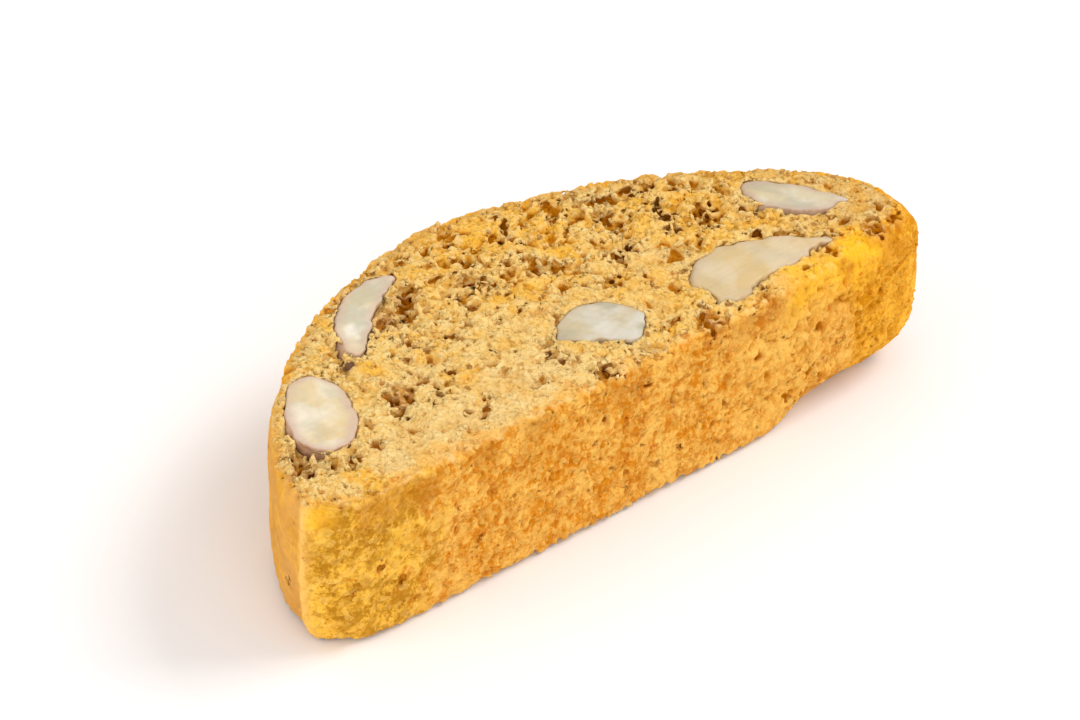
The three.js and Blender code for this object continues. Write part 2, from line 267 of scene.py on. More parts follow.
class BiscottoAlmondSettings(bpy.types.PropertyGroup):
    """The almonds that are cut through."""

    grid_step: length_property("Grid step", "Step of the grid that an almond is carved on", 0.2 * MM)
    gap: length_property("Gap", "Usual gap between an almond and the crumb", 0.03 * MM)
    ivory: colour_property("Ivory", "the whitest flesh", (0.68, 0.61, 0.44))
    cream: colour_property("Cream", "the yellowest flesh", (0.66, 0.47, 0.215))
    white: colour_property("White", "the pale clouds in the flesh", (0.82, 0.78, 0.68))
    dim: colour_property("Dim flesh", "the greyer clouds in the flesh", (0.50, 0.45, 0.31))
    blush: colour_property("Blush", "the flesh next to the skin", (0.56, 0.40, 0.30))
    skin: colour_property("Skin", "the skin", (0.34, 0.16, 0.085))
    worn_skin: colour_property("Worn skin", "the paler parts of the skin", (0.52, 0.33, 0.21))


class BiscottoStageSettings(bpy.types.PropertyGroup):
    """The floor and the camera."""

    floor: colour_property("Floor", "the floor", (0.90, 0.88, 0.87))
    camera_place: bpy.props.FloatVectorProperty(
        name="Camera", description="Where the camera stands", default=(-0.3790, -0.3534, 0.3979), size=3,
        subtype="TRANSLATION", unit="LENGTH",
    )
    camera_roll: bpy.props.FloatProperty(
        name="Camera roll", description="How far the camera is rolled", default=math.radians(6.5),
        subtype="ANGLE", unit="ROTATION",
    )
    lens: bpy.props.FloatProperty(
        name="Lens", description="Focal length in millimetres", default=212.0, min=1.0, unit="CAMERA"
    )


# --- Shapes as distances, negative inside, in millimetres ---

def chance(n):
    """The nth of a run of even numbers between 0 and 1, the same as in the CAD part."""
    s = math.sin(n * 12.9898 + 4.1414) * 43758.5453
    return s - math.floor(s)


def rounded_max(a, b, radius):
    """The larger of two distances, with the crease between them rounded off."""
    gap = a - b
    return 0.5 * (a + b + np.sqrt(gap * gap + radius * radius))


def near_line(x, y, start, end):
    """Distance of points from a line between two ends."""
    span = np.subtract(end, start)
    along = np.clip(((x - start[0]) * span[0] + (y - start[1]) * span[1]) / (span @ span), 0, 1)
    return np.hypot(x - start[0] - along * span[0], y - start[1] - along * span[1])


def smoothstep(value, low, high):
    t = np.clip((value - low) / (high - low), 0.0, 1.0)
    return t * t * (3.0 - 2.0 * t)


def quarter(power, steps=160):
    """A quarter of a superellipse: how far out and how far up it is."""
    turn = np.linspace(0.0, math.pi / 2, steps)
    return np.cos(turn) ** (2 / power), np.sin(turn) ** (2 / power)


@functools.lru_cache(None)
def section_outline():
    """The loaf's section as a closed run of points, anticlockwise from the right tip."""
    runs = []
    for side in (1, -1):
        tip_x, tip_y = side * LENGTH / 2, BASE + TIP_RISE[side]
        out, up = quarter(DOME_POWER[side])
        dome = np.stack([DOME_TOP_X + out * (tip_x - DOME_TOP_X), tip_y + up * (HEIGHT / 2 - tip_y)], 1)
        inner = tip_x - side * CORNER_RUN[side]
        out, down = quarter(CORNER_POWER[side])
        corner = np.stack([inner + out * (tip_x - inner), tip_y - down * TIP_RISE[side]], 1)
        runs.append((dome, corner))
    (right_dome, right_corner), (left_dome, left_corner) = runs
    return np.concatenate([right_dome[:-1], left_dome[::-1][:-1], left_corner, right_corner[::-1][:-1]])


def round_the_loaf(share):
    """The point of the loaf's outline that is a share of the way round it."""
    closed = np.vstack([section_outline(), section_outline()[:1]])
    travelled = np.concatenate([[0], np.cumsum(np.hypot(*np.diff(closed, axis=0).T))])
    return [float(np.interp(share * travelled[-1], travelled, closed[:, k])) for k in range(2)]


def outline_distance(a, xs, ys):
    """Signed distance of each point of a flat grid from a closed outline."""
    b = np.roll(a, -1, axis=0)
    span = b - a
    long = np.maximum((span**2).sum(1), 1e-12)
    flat = np.empty((len(xs), len(ys)))
    for i, x in enumerate(xs):
        rel_x = x - a[:, 0][None, :]
        rel_y = ys[:, None] - a[:, 1][None, :]
        along = np.clip((rel_x * span[:, 0] + rel_y * span[:, 1]) / long, 0.0, 1.0)
        near = np.hypot(rel_x - along * span[:, 0], rel_y - along * span[:, 1]).min(1)
        crossed = (a[:, 0] <= x) != (b[:, 0] <= x)
        height = a[crossed, 1] + (x - a[crossed, 0]) * span[crossed, 1] / span[crossed, 0]
        above = (height[None, :] > ys[:, None]).sum(1)
        flat[i] = np.where(above % 2 == 1, -near, near)
    return flat


def slant_at(x, z):
    """How far the slant of the cut shifts a point of the loaf's side along X."""
    share = 0.5 + x / LENGTH
    return (SLANT[0] + share * (SLANT[1] - SLANT[0])) * (1 - z / THICKNESS)


def side_distance(xs, ys, zs):
    """Distance from the loaf's side, over a whole grid."""
    wide_x = np.arange(xs[0] - 4.0, xs[-1] + 4.0, xs[1] - xs[0])
    flat = outline_distance(section_outline(), wide_x, ys)
    side = np.empty((len(xs), len(ys), len(zs)), np.float32)
    for k, z in enumerate(zs):
        low = 1 - z / THICKNESS
        source = (xs - low * (SLANT[0] + SLANT[1]) / 2) / (1 + low * (SLANT[1] - SLANT[0]) / LENGTH)
        place = (source - wide_x[0]) / (wide_x[1] - wide_x[0])
        cell = np.floor(place).astype(int)
        part = (place - cell)[:, None]
        side[:, :, k] = flat[cell] * (1 - part) + flat[cell + 1] * part
    return side


def scattered(points, size, seed):
    """How far points are from the nearest of many scattered ones `size` apart, and that one's number."""
    side = 32  # of the block of draws, which repeats
    draws = np.random.default_rng(seed).uniform(size=(side, side, side, 4)).astype(np.float32)
    place = (points / size).astype(np.float32)
    cell = np.floor(place).astype(np.int32)
    near = np.full(len(points), 9.0, np.float32)
    number = np.zeros(len(points), np.float32)
    for i, j, k in np.ndindex(3, 3, 3):
        at = cell + np.array((i - 1, j - 1, k - 1), np.int32)
        draw = draws[tuple((at % side).T)]
        away = ((at + draw[:, :3] - place) ** 2).sum(1)
        closer = away < near
        near[closer] = away[closer]
        number[closer] = draw[closer, 3]
    return np.sqrt(near) * size, number


def blurred(field, reach):
    """A field blurred over a box of 2 * reach + 1 steps each way."""
    for axis in range(3):
        before = np.repeat(np.take(field, [0], axis), reach + 1, axis)
        after = np.repeat(np.take(field, [-1], axis), reach, axis)
        padded = np.concatenate([before, field, after], axis)
        total = np.cumsum(padded, axis, dtype=np.float64)
        count = np.arange(field.shape[axis])
        far, near = (np.take(total, count + ahead, axis) for ahead in (2 * reach + 1, 0))
        field = ((far - near) / (2 * reach + 1)).astype(np.float32)
    return field


class Grid:
    """Points in rows along the three axes, with fields of one value for each point."""

    def __init__(self, step, *spans):
        self.step = step
        self.axes = [np.arange(start, end, step) for start, end in spans]
        self.shape = tuple(len(values) for values in self.axes)
        self.corner = np.array([values[0] for values in self.axes])

    def clouds(self, size, seed, flat=False):
        """Smooth noise of spread 1 with lumps about `size` across, or flat noise, the same at each height."""
        shape = (*self.shape[:2], 1) if flat else self.shape
        waves = np.fft.rfftn(np.random.default_rng(seed).standard_normal(shape).astype(np.float32))
        for axis, (count, reach) in enumerate(zip(shape, np.broadcast_to(size, 3) / self.step / LUMP_SIZE)):
            pace = np.fft.rfftfreq(count) if axis == 2 else np.fft.fftfreq(count)
            fade = np.exp(-2 * (math.pi * reach * pace) ** 2)
            waves *= fade.reshape([-1 if k == axis else 1 for k in range(3)])
        smooth = np.fft.irfftn(waves, shape)
        return (smooth / smooth.std()).astype(np.float32)

    def look(self, field, points):
        """A field's values at any points, blended between those of the grid."""
        place = np.clip((points - self.corner) / self.step, 0, np.array(field.shape) - 1.001)
        cell = np.floor(place).astype(int)
        part = place - cell
        total = np.zeros(len(points))
        for ends in np.ndindex(2, 2, 2):
            weight = math.prod(part[:, k] if end else 1 - part[:, k] for k, end in enumerate(ends))
            total += weight * field[tuple((cell + ends).T)]
        return total


def almond_lie(almond):
    """An almond's heading and dive, and how far its middle is from its spot along the heading."""
    dive, way = math.radians(almond.pitch), math.radians(almond.heading)
    long_square, wide_square = ((size / 2) ** 2 for size in almond.size[:2])
    up_square = long_square * math.sin(dive) ** 2 + wide_square * math.cos(dive) ** 2
    lean = almond.deep * (long_square - wide_square) * math.sin(dive) * math.cos(dive) / up_square
    return way, (dive if almond.face == "upper" else -dive), lean


def almond_taper(along):
    """How wide an almond is at a place along it, from -1 to 1."""
    return (1 - ALMOND_TAPER * along) * (1 - ALMOND_POINT * along**2)


def almond_distance(points, almond):
    """Distance of points from a whole almond, with where they lie across its thickness."""
    way, turn, lean = almond_lie(almond)
    height = THICKNESS - almond.deep if almond.face == "upper" else almond.deep
    x, y, z = (points[..., k] - at for k, at in enumerate((*almond.spot, height)))
    ahead = x * math.cos(way) + y * math.sin(way) - lean
    left = -x * math.sin(way) + y * math.cos(way)
    along = ahead * math.cos(turn) - z * math.sin(turn)
    wide = ahead * math.sin(turn) + z * math.cos(turn)
    half = [size / 2 for size in almond.size]
    u = along / half[0]
    taper = almond_taper(np.clip(u, -1.2, 1.2))
    v = wide / (taper * half[1])
    w = (-left - almond.bow * (u**2 + v**2 - 0.4)) / (taper * half[2])
    r = np.sqrt(u**2 + v**2 + w**2) + 1e-6
    steep = np.sqrt((u / half[0]) ** 2 + (v / (taper * half[1])) ** 2 + (w / (taper * half[2])) ** 2) / r
    return (r - 1) / (steep + 1e-6), w * half[2]


class Kernel(Grid):
    """One almond as a field on a grid of its own, cut off at the slice's faces."""

    def __init__(self, number, step):
        self.almond = almond = ALMONDS[number - 1]
        long, reach = max(almond.size), max(almond.size) / 2 + 3
        height = (THICKNESS - long - 2, THICKNESS + 1.2) if almond.face == "upper" else (-1.2, long + 2)
        super().__init__(step, *((at - reach, at + reach) for at in almond.spot), height)
        points = np.stack(np.meshgrid(*self.axes, indexing="ij"), -1)
        away, self.across = almond_distance(points, almond)
        lumps = 0.12 * self.clouds(3.6, 199 + number) + 0.06 * self.clouds(1.3, 219 + number)
        self.away = self.coat = (away - 0.12 + lumps).astype(np.float32)
        for x, y, radius in NICKS.get(number, ()):
            hollow = radius - np.hypot(points[..., 0] - x, points[..., 1] - y) + 1.2 * lumps
            self.away = rounded_max(self.away, hollow, 0.15 + 0.2 * radius).astype(np.float32)
        if number in SLIVERS:
            sliver = self.sliver(points, *SLIVERS[number]) + 1.6 * lumps
            self.away = -rounded_max(-self.away, -sliver, 0.4).astype(np.float32)
            self.coat = np.minimum(self.coat, sliver - 0.5)
        inset = side_distance(*self.axes) + 0.9
        self.away = rounded_max(self.away, inset, 0.4).astype(np.float32)
        upper = points[..., 2] - THICKNESS - 0.01 - 0.08 * self.clouds(3.2, 239 + number, flat=True)
        self.field = rounded_max(self.away, np.maximum(upper, -points[..., 2]), 0.12)

    def sliver(self, points, start, end, radius):
        """Distance from a thin point of flesh that runs out along the cut."""
        span = np.subtract(end, start)
        x, y, z = (points[..., k] - at for k, at in enumerate((*start, THICKNESS)))
        along = np.clip((x * span[0] + y * span[1]) / (span @ span), 0, 1)
        away = np.sqrt((x - along * span[0]) ** 2 + (y - along * span[1]) ** 2 + (0.8 * z) ** 2)
        return away - radius * (1 - 0.85 * along)


@functools.lru_cache(None)
def kernels(step):
    return [Kernel(number, step) for number in range(1, len(ALMONDS) + 1)]


def frame_shift():
    """From the loaf's own frame to the row frame, in millimetres, measured on the CAD part's first almond."""
    almond = ALMONDS[0]
    way, turn, lean = almond_lie(almond)
    around, rings = FRAME_RINGS
    phi, theta = np.meshgrid(np.arange(around) / around * math.tau, np.arange(rings + 1) / rings * math.pi)
    x, y, z = np.cos(theta), np.cos(phi) * np.sin(theta), np.sin(phi) * np.sin(theta)
    along, wide = x * almond.size[0] / 2, y * almond_taper(x) * almond.size[1] / 2
    left = -(z * almond_taper(x) * almond.size[2] / 2 + almond.bow * (x**2 + y**2 - 0.4))
    ahead = along * math.cos(turn) + wide * math.sin(turn) + lean
    at_x = almond.spot[0] + ahead * math.cos(way) - left * math.sin(way)
    at_y = almond.spot[1] + ahead * math.sin(way) + left * math.cos(way)
    low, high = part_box("almond_1")
    middles = [(at.min() + at.max()) / 2 for at in (at_x, at_y)]
    return np.array([(low[k] + high[k]) / 2 / MM - middles[k] for k in range(2)] + [0.0])


SHIFT = frame_shift()


# --- From a field to a mesh ---

def surface_of(grid):
    """Points and quads of the closed skin round the inside of a grid's own field."""
    inside = grid.field < 0
    corners = list(np.ndindex(2, 2, 2))
    long, wide, tall = (size - 1 for size in inside.shape)
    count = sum(inside[i:i + long, j:j + wide, k:k + tall].astype(np.uint8) for i, j, k in corners)
    active = (count > 0) & (count < 8)
    number = np.full(active.shape, -1, np.int64)
    number[active] = np.arange(int(active.sum()))
    cells = np.argwhere(active)
    total = np.zeros((len(cells), 3))
    crossings = np.zeros(len(cells))
    values = [grid.field[tuple((cells + c).T)] for c in corners]
    for first, second in itertools.combinations(range(8), 2):
        start, edge = np.array(corners[first]), np.subtract(corners[second], corners[first])
        if np.abs(edge).sum() != 1:
            continue
        cross = (values[first] < 0) != (values[second] < 0)
        share = values[first][cross] / (values[first][cross] - values[second][cross])
        total[cross] += start + share[:, None] * edge
        crossings[cross] += 1
    points = grid.corner + grid.step * (cells + total / crossings[:, None])
    quads = []
    for axis in range(3):
        others = [k for k in range(3) if k != axis]
        near, far = [slice(1, -1)] * 3, [slice(1, -1)] * 3
        near[axis], far[axis] = slice(0, -1), slice(1, None)
        here, there = inside[tuple(near)], inside[tuple(far)]
        for leaving in (True, False):
            at = np.argwhere(here & ~there if leaving else ~here & there)
            at[:, others] += 1
            ring = []
            for shift in ((-1, -1), (0, -1), (0, 0), (-1, 0)):
                cell = at.copy()
                cell[:, others] += shift
                ring.append(number[tuple(cell.T)])
            ring = np.stack(ring, 1)
            quads.append(ring if leaving == (axis != 1) else ring[:, ::-1])
    return points, np.concatenate(quads)


def largest_part(points, quads):
    """The points and quads of the part of a mesh that has most points."""
    label = np.arange(len(points))
    edges = np.concatenate([quads[:, [0, 1]], quads[:, [1, 2]], quads[:, [2, 3]]])
    before = None
    while not np.array_equal(label, before):
        before = label.copy()
        low = np.minimum(label[edges[:, 0]], label[edges[:, 1]])
        np.minimum.at(label, edges[:, 0], low)
        np.minimum.at(label, edges[:, 1], low)
        label = label[label]
    keep = label == np.bincount(label).argmax()
    place = np.cumsum(keep) - 1
    return points[keep], place[quads[keep[quads[:, 0]]]]


def mesh_of(name, points, quads):
    """A smooth-shaded mesh object at the origin, from points in millimetres in the loaf's frame."""
    mesh = bpy.data.meshes.new(name)
    mesh.vertices.add(len(points))
    mesh.vertices.foreach_set("co", ((points + SHIFT) * MM).astype(np.float32).ravel())
    mesh.loops.add(quads.size)
    mesh.loops.foreach_set("vertex_index", quads.astype(np.int32).ravel())
    mesh.polygons.add(len(quads))
    mesh.polygons.foreach_set("loop_start", np.arange(0, quads.size, 4, dtype=np.int32))
    mesh.update(calc_edges=True)
    mesh.shade_smooth()
    piece = bpy.data.objects.new(name, mesh)
    bpy.context.scene.collection.objects.link(piece)
    return piece


def mesh_points(piece):
    """A piece's points in millimetres, in the loaf's frame."""
    points = np.empty(len(piece.data.vertices) * 3, np.float32)
    piece.data.vertices.foreach_get("co", points)
    return points.reshape(-1, 3) / MM - SHIFT


def applied(piece):
    """Turns a piece's modifiers into its mesh."""
    depsgraph = bpy.context.evaluated_depsgraph_get()
    mesh = bpy.data.meshes.new_from_object(piece.evaluated_get(depsgraph))
    old = piece.data
    piece.modifiers.clear()
    piece.data = mesh
    mesh.name = piece.name
    bpy.data.meshes.remove(old)


def thinned(piece, triangles, here=None):
    """Brings a piece, or those of its points that are `here`, down to a number of triangles."""
    faces = piece.data.polygons
    count = len(faces) * (len(faces[0].vertices) - 2)
    thin = piece.modifiers.new("Thin", "DECIMATE")
    thin.use_collapse_triangulate = True
    kept = 0.0
    if here is not None:
        share = piece.vertex_groups.new(name="share")
        share.add(np.flatnonzero(here).tolist(), 1.0, "REPLACE")
        thin.vertex_group = "share"
        kept = 1 - here.mean()
    thin.ratio = min(1.0, kept + triangles / count)
    applied(piece)
    piece.vertex_groups.clear()


def paint(piece, **layers):
    """Keeps numbers for each point of a piece, for its material."""
    for name, values in layers.items():
        layer = piece.data.attributes.new(name, "FLOAT", "POINT")
        values = np.broadcast_to(np.asarray(values, np.float32), len(piece.data.vertices))
        layer.data.foreach_set("value", np.ascontiguousarray(values))


def finish_piece(piece, material, slot, *nodes):
    """Gives a piece its material and its body, and hides the CAD nodes that it stands for. The slot is not
    used.
    """
    piece.data.materials.clear()
    piece.data.materials.append(material)
    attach(piece, "root")
    if nodes:
        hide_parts(*nodes)


# --- The crumb and crust ---

class Dough(Grid):
    """The slice as a field on a grid, carved step by step."""

    def __init__(self, step):
        super().__init__(
            step,
            (-LENGTH / 2 - SPARE - 1, LENGTH / 2 + SPARE + 2),
            (BASE - SPARE, HEIGHT / 2 + SPARE),
            (-SPARE, THICKNESS + SPARE),
        )
        self.x, self.y, self.z = np.ix_(*self.axes)
        self.fuzz = self.clouds(0.9, 11)
        self.loose = self.clouds(3.0, 12)
        self.stray = np.stack([self.clouds(1.1, seed) for seed in (13, 14, 15)], -1)

    def window(self, centre, reach):
        """The part of the grid within a reach of a point, and how far its corners are from that point."""
        cuts = []
        for values, at in zip(self.axes, centre):
            first, last = (int(np.searchsorted(values, end)) for end in (at - reach, at + reach))
            cuts.append(slice(first, max(last, first)))
        return tuple(cuts), np.ix_(*(values[cut] - at for values, cut, at in zip(self.axes, cuts, centre)))

    def carve(self, centre, radii, turn, fuzz=0.25):
        """Takes out a rough ellipsoid."""
        cut, (x, y, z) = self.window(centre, max(radii) * 1.5)
        across = (math.cos(turn) * x + math.sin(turn) * y) / radii[0]
        along = (-math.sin(turn) * x + math.cos(turn) * y) / radii[1]
        away = (np.sqrt(across**2 + along**2 + (z / radii[2]) ** 2) - 1) * min(radii)
        away = away + fuzz * min(radii) * self.fuzz[cut]
        np.maximum(self.field[cut], -away, out=self.field[cut])

    def grains(self, near, grain):
        """Relief of packed round grains, where it is wanted."""
        size = grain[0]
        points = self.corner + self.step * np.argwhere(near) + STRAY * size * self.stray[near]
        away = scattered(points, *grain)[0]
        relief = np.zeros(self.shape, np.float32)
        relief[near] = np.sqrt(np.clip((0.62 * size) ** 2 - away**2, 0, None)) - 0.33 * size
        return relief

    def grain_numbers(self, points, grain):
        """The number of the grain that each point lies on."""
        shift = [self.look(self.stray[..., k], points) for k in range(3)]
        return scattered(points + STRAY * grain[0] * np.stack(shift, 1), *grain)[1]

    def shape_loaf(self):
        """The loaf's side between the two cuts, with its relief."""
        x, y, z = self.x, self.y, self.z
        side = side_distance(*self.axes)
        self.plain = np.maximum(side, np.maximum(z - THICKNESS, -z))
        near = np.abs(self.plain) < RELIEF_REACH
        coarse = self.grains(near, COARSE_GRAIN)
        sandy = self.grains(near, SANDY_GRAIN)
        jag = self.clouds(2.4, 21)
        worn = np.zeros(self.shape, np.float32)
        low = smoothstep(-y, 2, 11)
        for face, end, start, full, depth, tall in WEAR:
            inside = THICKNESS - z if face == "upper" else z
            near_face = np.clip(1 - inside / tall, 0, 1) ** 1.4
            worn = np.maximum(worn, depth * low * smoothstep(end * x, start, full) * near_face)
        worn *= 1 + 0.08 * jag
        bulge = DOME_BULGE * np.clip(1 - (2 * z / THICKNESS - 1) ** 2, 0, None)
        self.under = under = smoothstep(-y, HEIGHT / 2 - 3, HEIGHT / 2 - 0.8)
        rough = 1 - 0.55 * smoothstep(-x + 1.5 * jag, *SMOOTH_END)
        calm = (0.5 + 0.5 * smoothstep(z, 0, 2.5)) * (1 - 0.5 * smoothstep(worn, 0.3, 2.0))
        crag = (rough * (0.45 * coarse + 0.6 * sandy) + 0.12 * jag) * calm
        skin = 0.08 * self.clouds(6.0, 22) + 0.18 * sandy + 0.08 * coarse + 0.03 * jag
        ridge = (0.30 + 0.05 * jag) * np.exp(-((y + HEIGHT / 2 - TIP_RISE[-1]) / 0.6) ** 2)
        ridge = ridge * smoothstep(-x, 38, 40)
        relief = under * crag + (1 - under) * (skin + bulge) + ridge - worn
        self.fine = np.zeros((*self.shape[:2], 1), np.float32)
        for start, end, reach, share in FINE_CRUMB:
            away = near_line(x, y, start, end)
            self.fine = np.maximum(self.fine, share * smoothstep(away, 1.3 * reach, 0.6 * reach))
        inner = smoothstep(-side, 0.5, 3.0)
        swell = inner * np.clip(self.clouds((3.0, 2.0, 2.4), 23), -0.4, 2.5) + 0.4 * (1 - inner)
        crumb = (1 - 0.5 * self.fine) * (0.5 * coarse + 0.65 * sandy - 0.3 * swell) + 0.04 * jag
        self.side = side - relief
        self.cut = np.maximum(z - THICKNESS - crumb, -z - np.minimum(crumb - 0.15, 0))
        self.field = rounded_max(self.side, self.cut, 0.3 + 0.2 * np.clip(jag, 0, None))

    def open_crumb(self):
        """Ragged pores, dense in the cut faces and few in the crust, that close a little way in."""
        deep = np.clip(-np.maximum(self.side, self.cut), 0, 4)
        crusty = smoothstep(self.side - self.cut, -0.8, 0.3)
        corner = np.hypot(np.clip(self.side, None, 0), np.clip(self.cut, None, 0))
        corner = np.clip(1 - corner / 1.4, 0, 1)
        patch = np.clip(self.clouds(8.0, 33), -1.2, 1.2)
        closed = crusty * (1.5 - 0.55 * self.under) - 0.25 * corner * self.under
        closed = closed + 0.7 * smoothstep(-self.z, -2.5, -0.5) * self.under
        for size, level, fall, swing, seed in (
            ((2.4, 1.3, 1.4), 1.20, 0.85, 0.35, 34),
            ((1.2, 0.8, 0.8), 1.35, 1.3, 0.25, 35),
        ):
            holes = (self.clouds(size, seed) + 0.5 * self.fuzz) / 1.12
            threshold = level + closed - swing * patch + 1.1 * self.fine + fall * deep**2
            threshold -= 0.25 * smoothstep(self.y, -4, 6)
            np.maximum(self.field, 0.25 * min(size) * (holes - threshold), out=self.field)

    def prick_faces(self, count, seed):
        """Round pores in both cut faces, crowded where the crumb is open."""
        rng = np.random.default_rng(seed)
        crowd = self.clouds(7.0, seed + 1, flat=True)[:, :, 0]
        least, most = PORE_SIZES
        for face, level, inward in (("upper", THICKNESS, -1), ("lower", 0.0, 1)):
            almonds = [almond for almond in ALMONDS if almond.face == face]
            for _ in range(count):
                x = rng.uniform(-LENGTH / 2, LENGTH / 2)
                y = rng.uniform(-HEIGHT / 2, HEIGHT / 2)
                draw = rng.uniform(size=6)
                at = np.array([x, y, level])
                i, j, k = ((at - self.corner) / self.step).astype(int)
                side = self.side[i, j, k]
                open_here = 0.5 + 0.4 * crowd[i, j] - 0.6 * self.fine[i, j, 0] * (face == "upper")
                if draw[0] > open_here or side > -0.5:
                    continue
                if any(almond_distance(at, almond)[0] <= ALMOND_CLEARANCE for almond in almonds):
                    continue
                r = min(least + (most - least) * draw[1] ** 2.2, -0.6 * side)
                radii = (r * (0.8 + 0.9 * draw[2]), r * (0.7 + 0.4 * draw[3]), r * (0.9 + 0.8 * draw[4]))
                self.carve((x, y, level + inward * 0.35 * radii[2]), radii, math.pi * draw[5])

    def open_hollows(self, seed):
        """The larger ragged hollows, each a run of rough ellipsoids."""
        rng = np.random.default_rng(seed)
        for x, y, long, wide, heading in HOLLOWS:
            way = math.radians(heading)
            for _ in range(3 + round(2.5 * long / wide)):
                along = rng.uniform(-0.75, 0.75) * long
                across = rng.uniform(-0.45, 0.45) * wide
                r = wide * rng.uniform(0.45, 0.85)
                at_x = x + along * math.cos(way) - across * math.sin(way)
                at_y = y + along * math.sin(way) + across * math.cos(way)
                radii = (r * rng.uniform(1.0, 1.7), r, r * rng.uniform(1.0, 1.8))
                self.carve((at_x, at_y, THICKNESS - 0.5 * r), radii, way + rng.uniform(-0.7, 0.7), 0.5)

    def chip_edges(self):
        """Bites out of the edges of both cut faces."""
        for n in range(CHIPS):
            upper = n % 2 == 0
            x, y = round_the_loaf(chance(n + 0.5))
            radius = (0.7 if n < BIG_CHIPS else 0.4) + 0.8 * chance(n + 0.6)
            out = 1 + 0.35 * radius / math.hypot(x, y)
            slant = 0 if upper else slant_at(x, 0)
            level = THICKNESS + 0.25 * radius if upper else -0.25 * radius
            radii = (radius * (1 + 0.6 * chance(n + 0.7)), radius, 0.8 * radius)
            self.carve((x * out + slant, y * out, level), radii, math.pi * chance(n + 0.8), 0.45)

    def prick_crust(self, count, seed):
        """Pinholes in the underside, and a few in the dome."""
        rng = np.random.default_rng(seed)
        for _ in range(count):
            draw = rng.uniform(size=5)
            x, y = round_the_loaf(draw[0])
            z = 0.8 + draw[1] * (THICKNESS - 1.6)
            if y > BASE + 2 and draw[4] > DOME_PINHOLES:
                continue
            r = 0.2 + 0.42 * draw[2] ** 2
            self.carve((x + slant_at(x, z), y, z), (r * (0.9 + 0.7 * draw[3]), 1.5 * r, 1.5 * r), 0.0, 0.4)

    def press_almonds(self, gap, step):
        """The pockets that the almonds sit in, widest on the side that looks to the left underside."""
        for kernel in kernels(step):
            centre = (*kernel.almond.spot, THICKNESS if kernel.almond.face == "upper" else 0.0)
            cut, (x, y, z) = self.window(centre, POCKET_REACH)
            points = np.stack(np.broadcast_arrays(x + centre[0], y + centre[1], z + centre[2]), -1)
            away = kernel.look(kernel.away, points.reshape(-1, 3)).reshape(points.shape[:3])
            lee = smoothstep((-0.6 * x - 0.8 * y) / (np.hypot(x, y) + 1.0), 0.1, 0.9)
            room = gap * (1 + 2.5 * lee * np.clip(self.loose[cut], 0, None)) + 0.04 * self.fuzz[cut]
            np.maximum(self.field[cut], room - away, out=self.field[cut])


def shown_points(piece):
    """Which points of a piece are on the upper cut face or the underside."""
    points = mesh_points(piece)
    return (points[:, 2] > THICKNESS - SHOWN_DEPTH) | (points[:, 1] < SHOWN_EDGE)


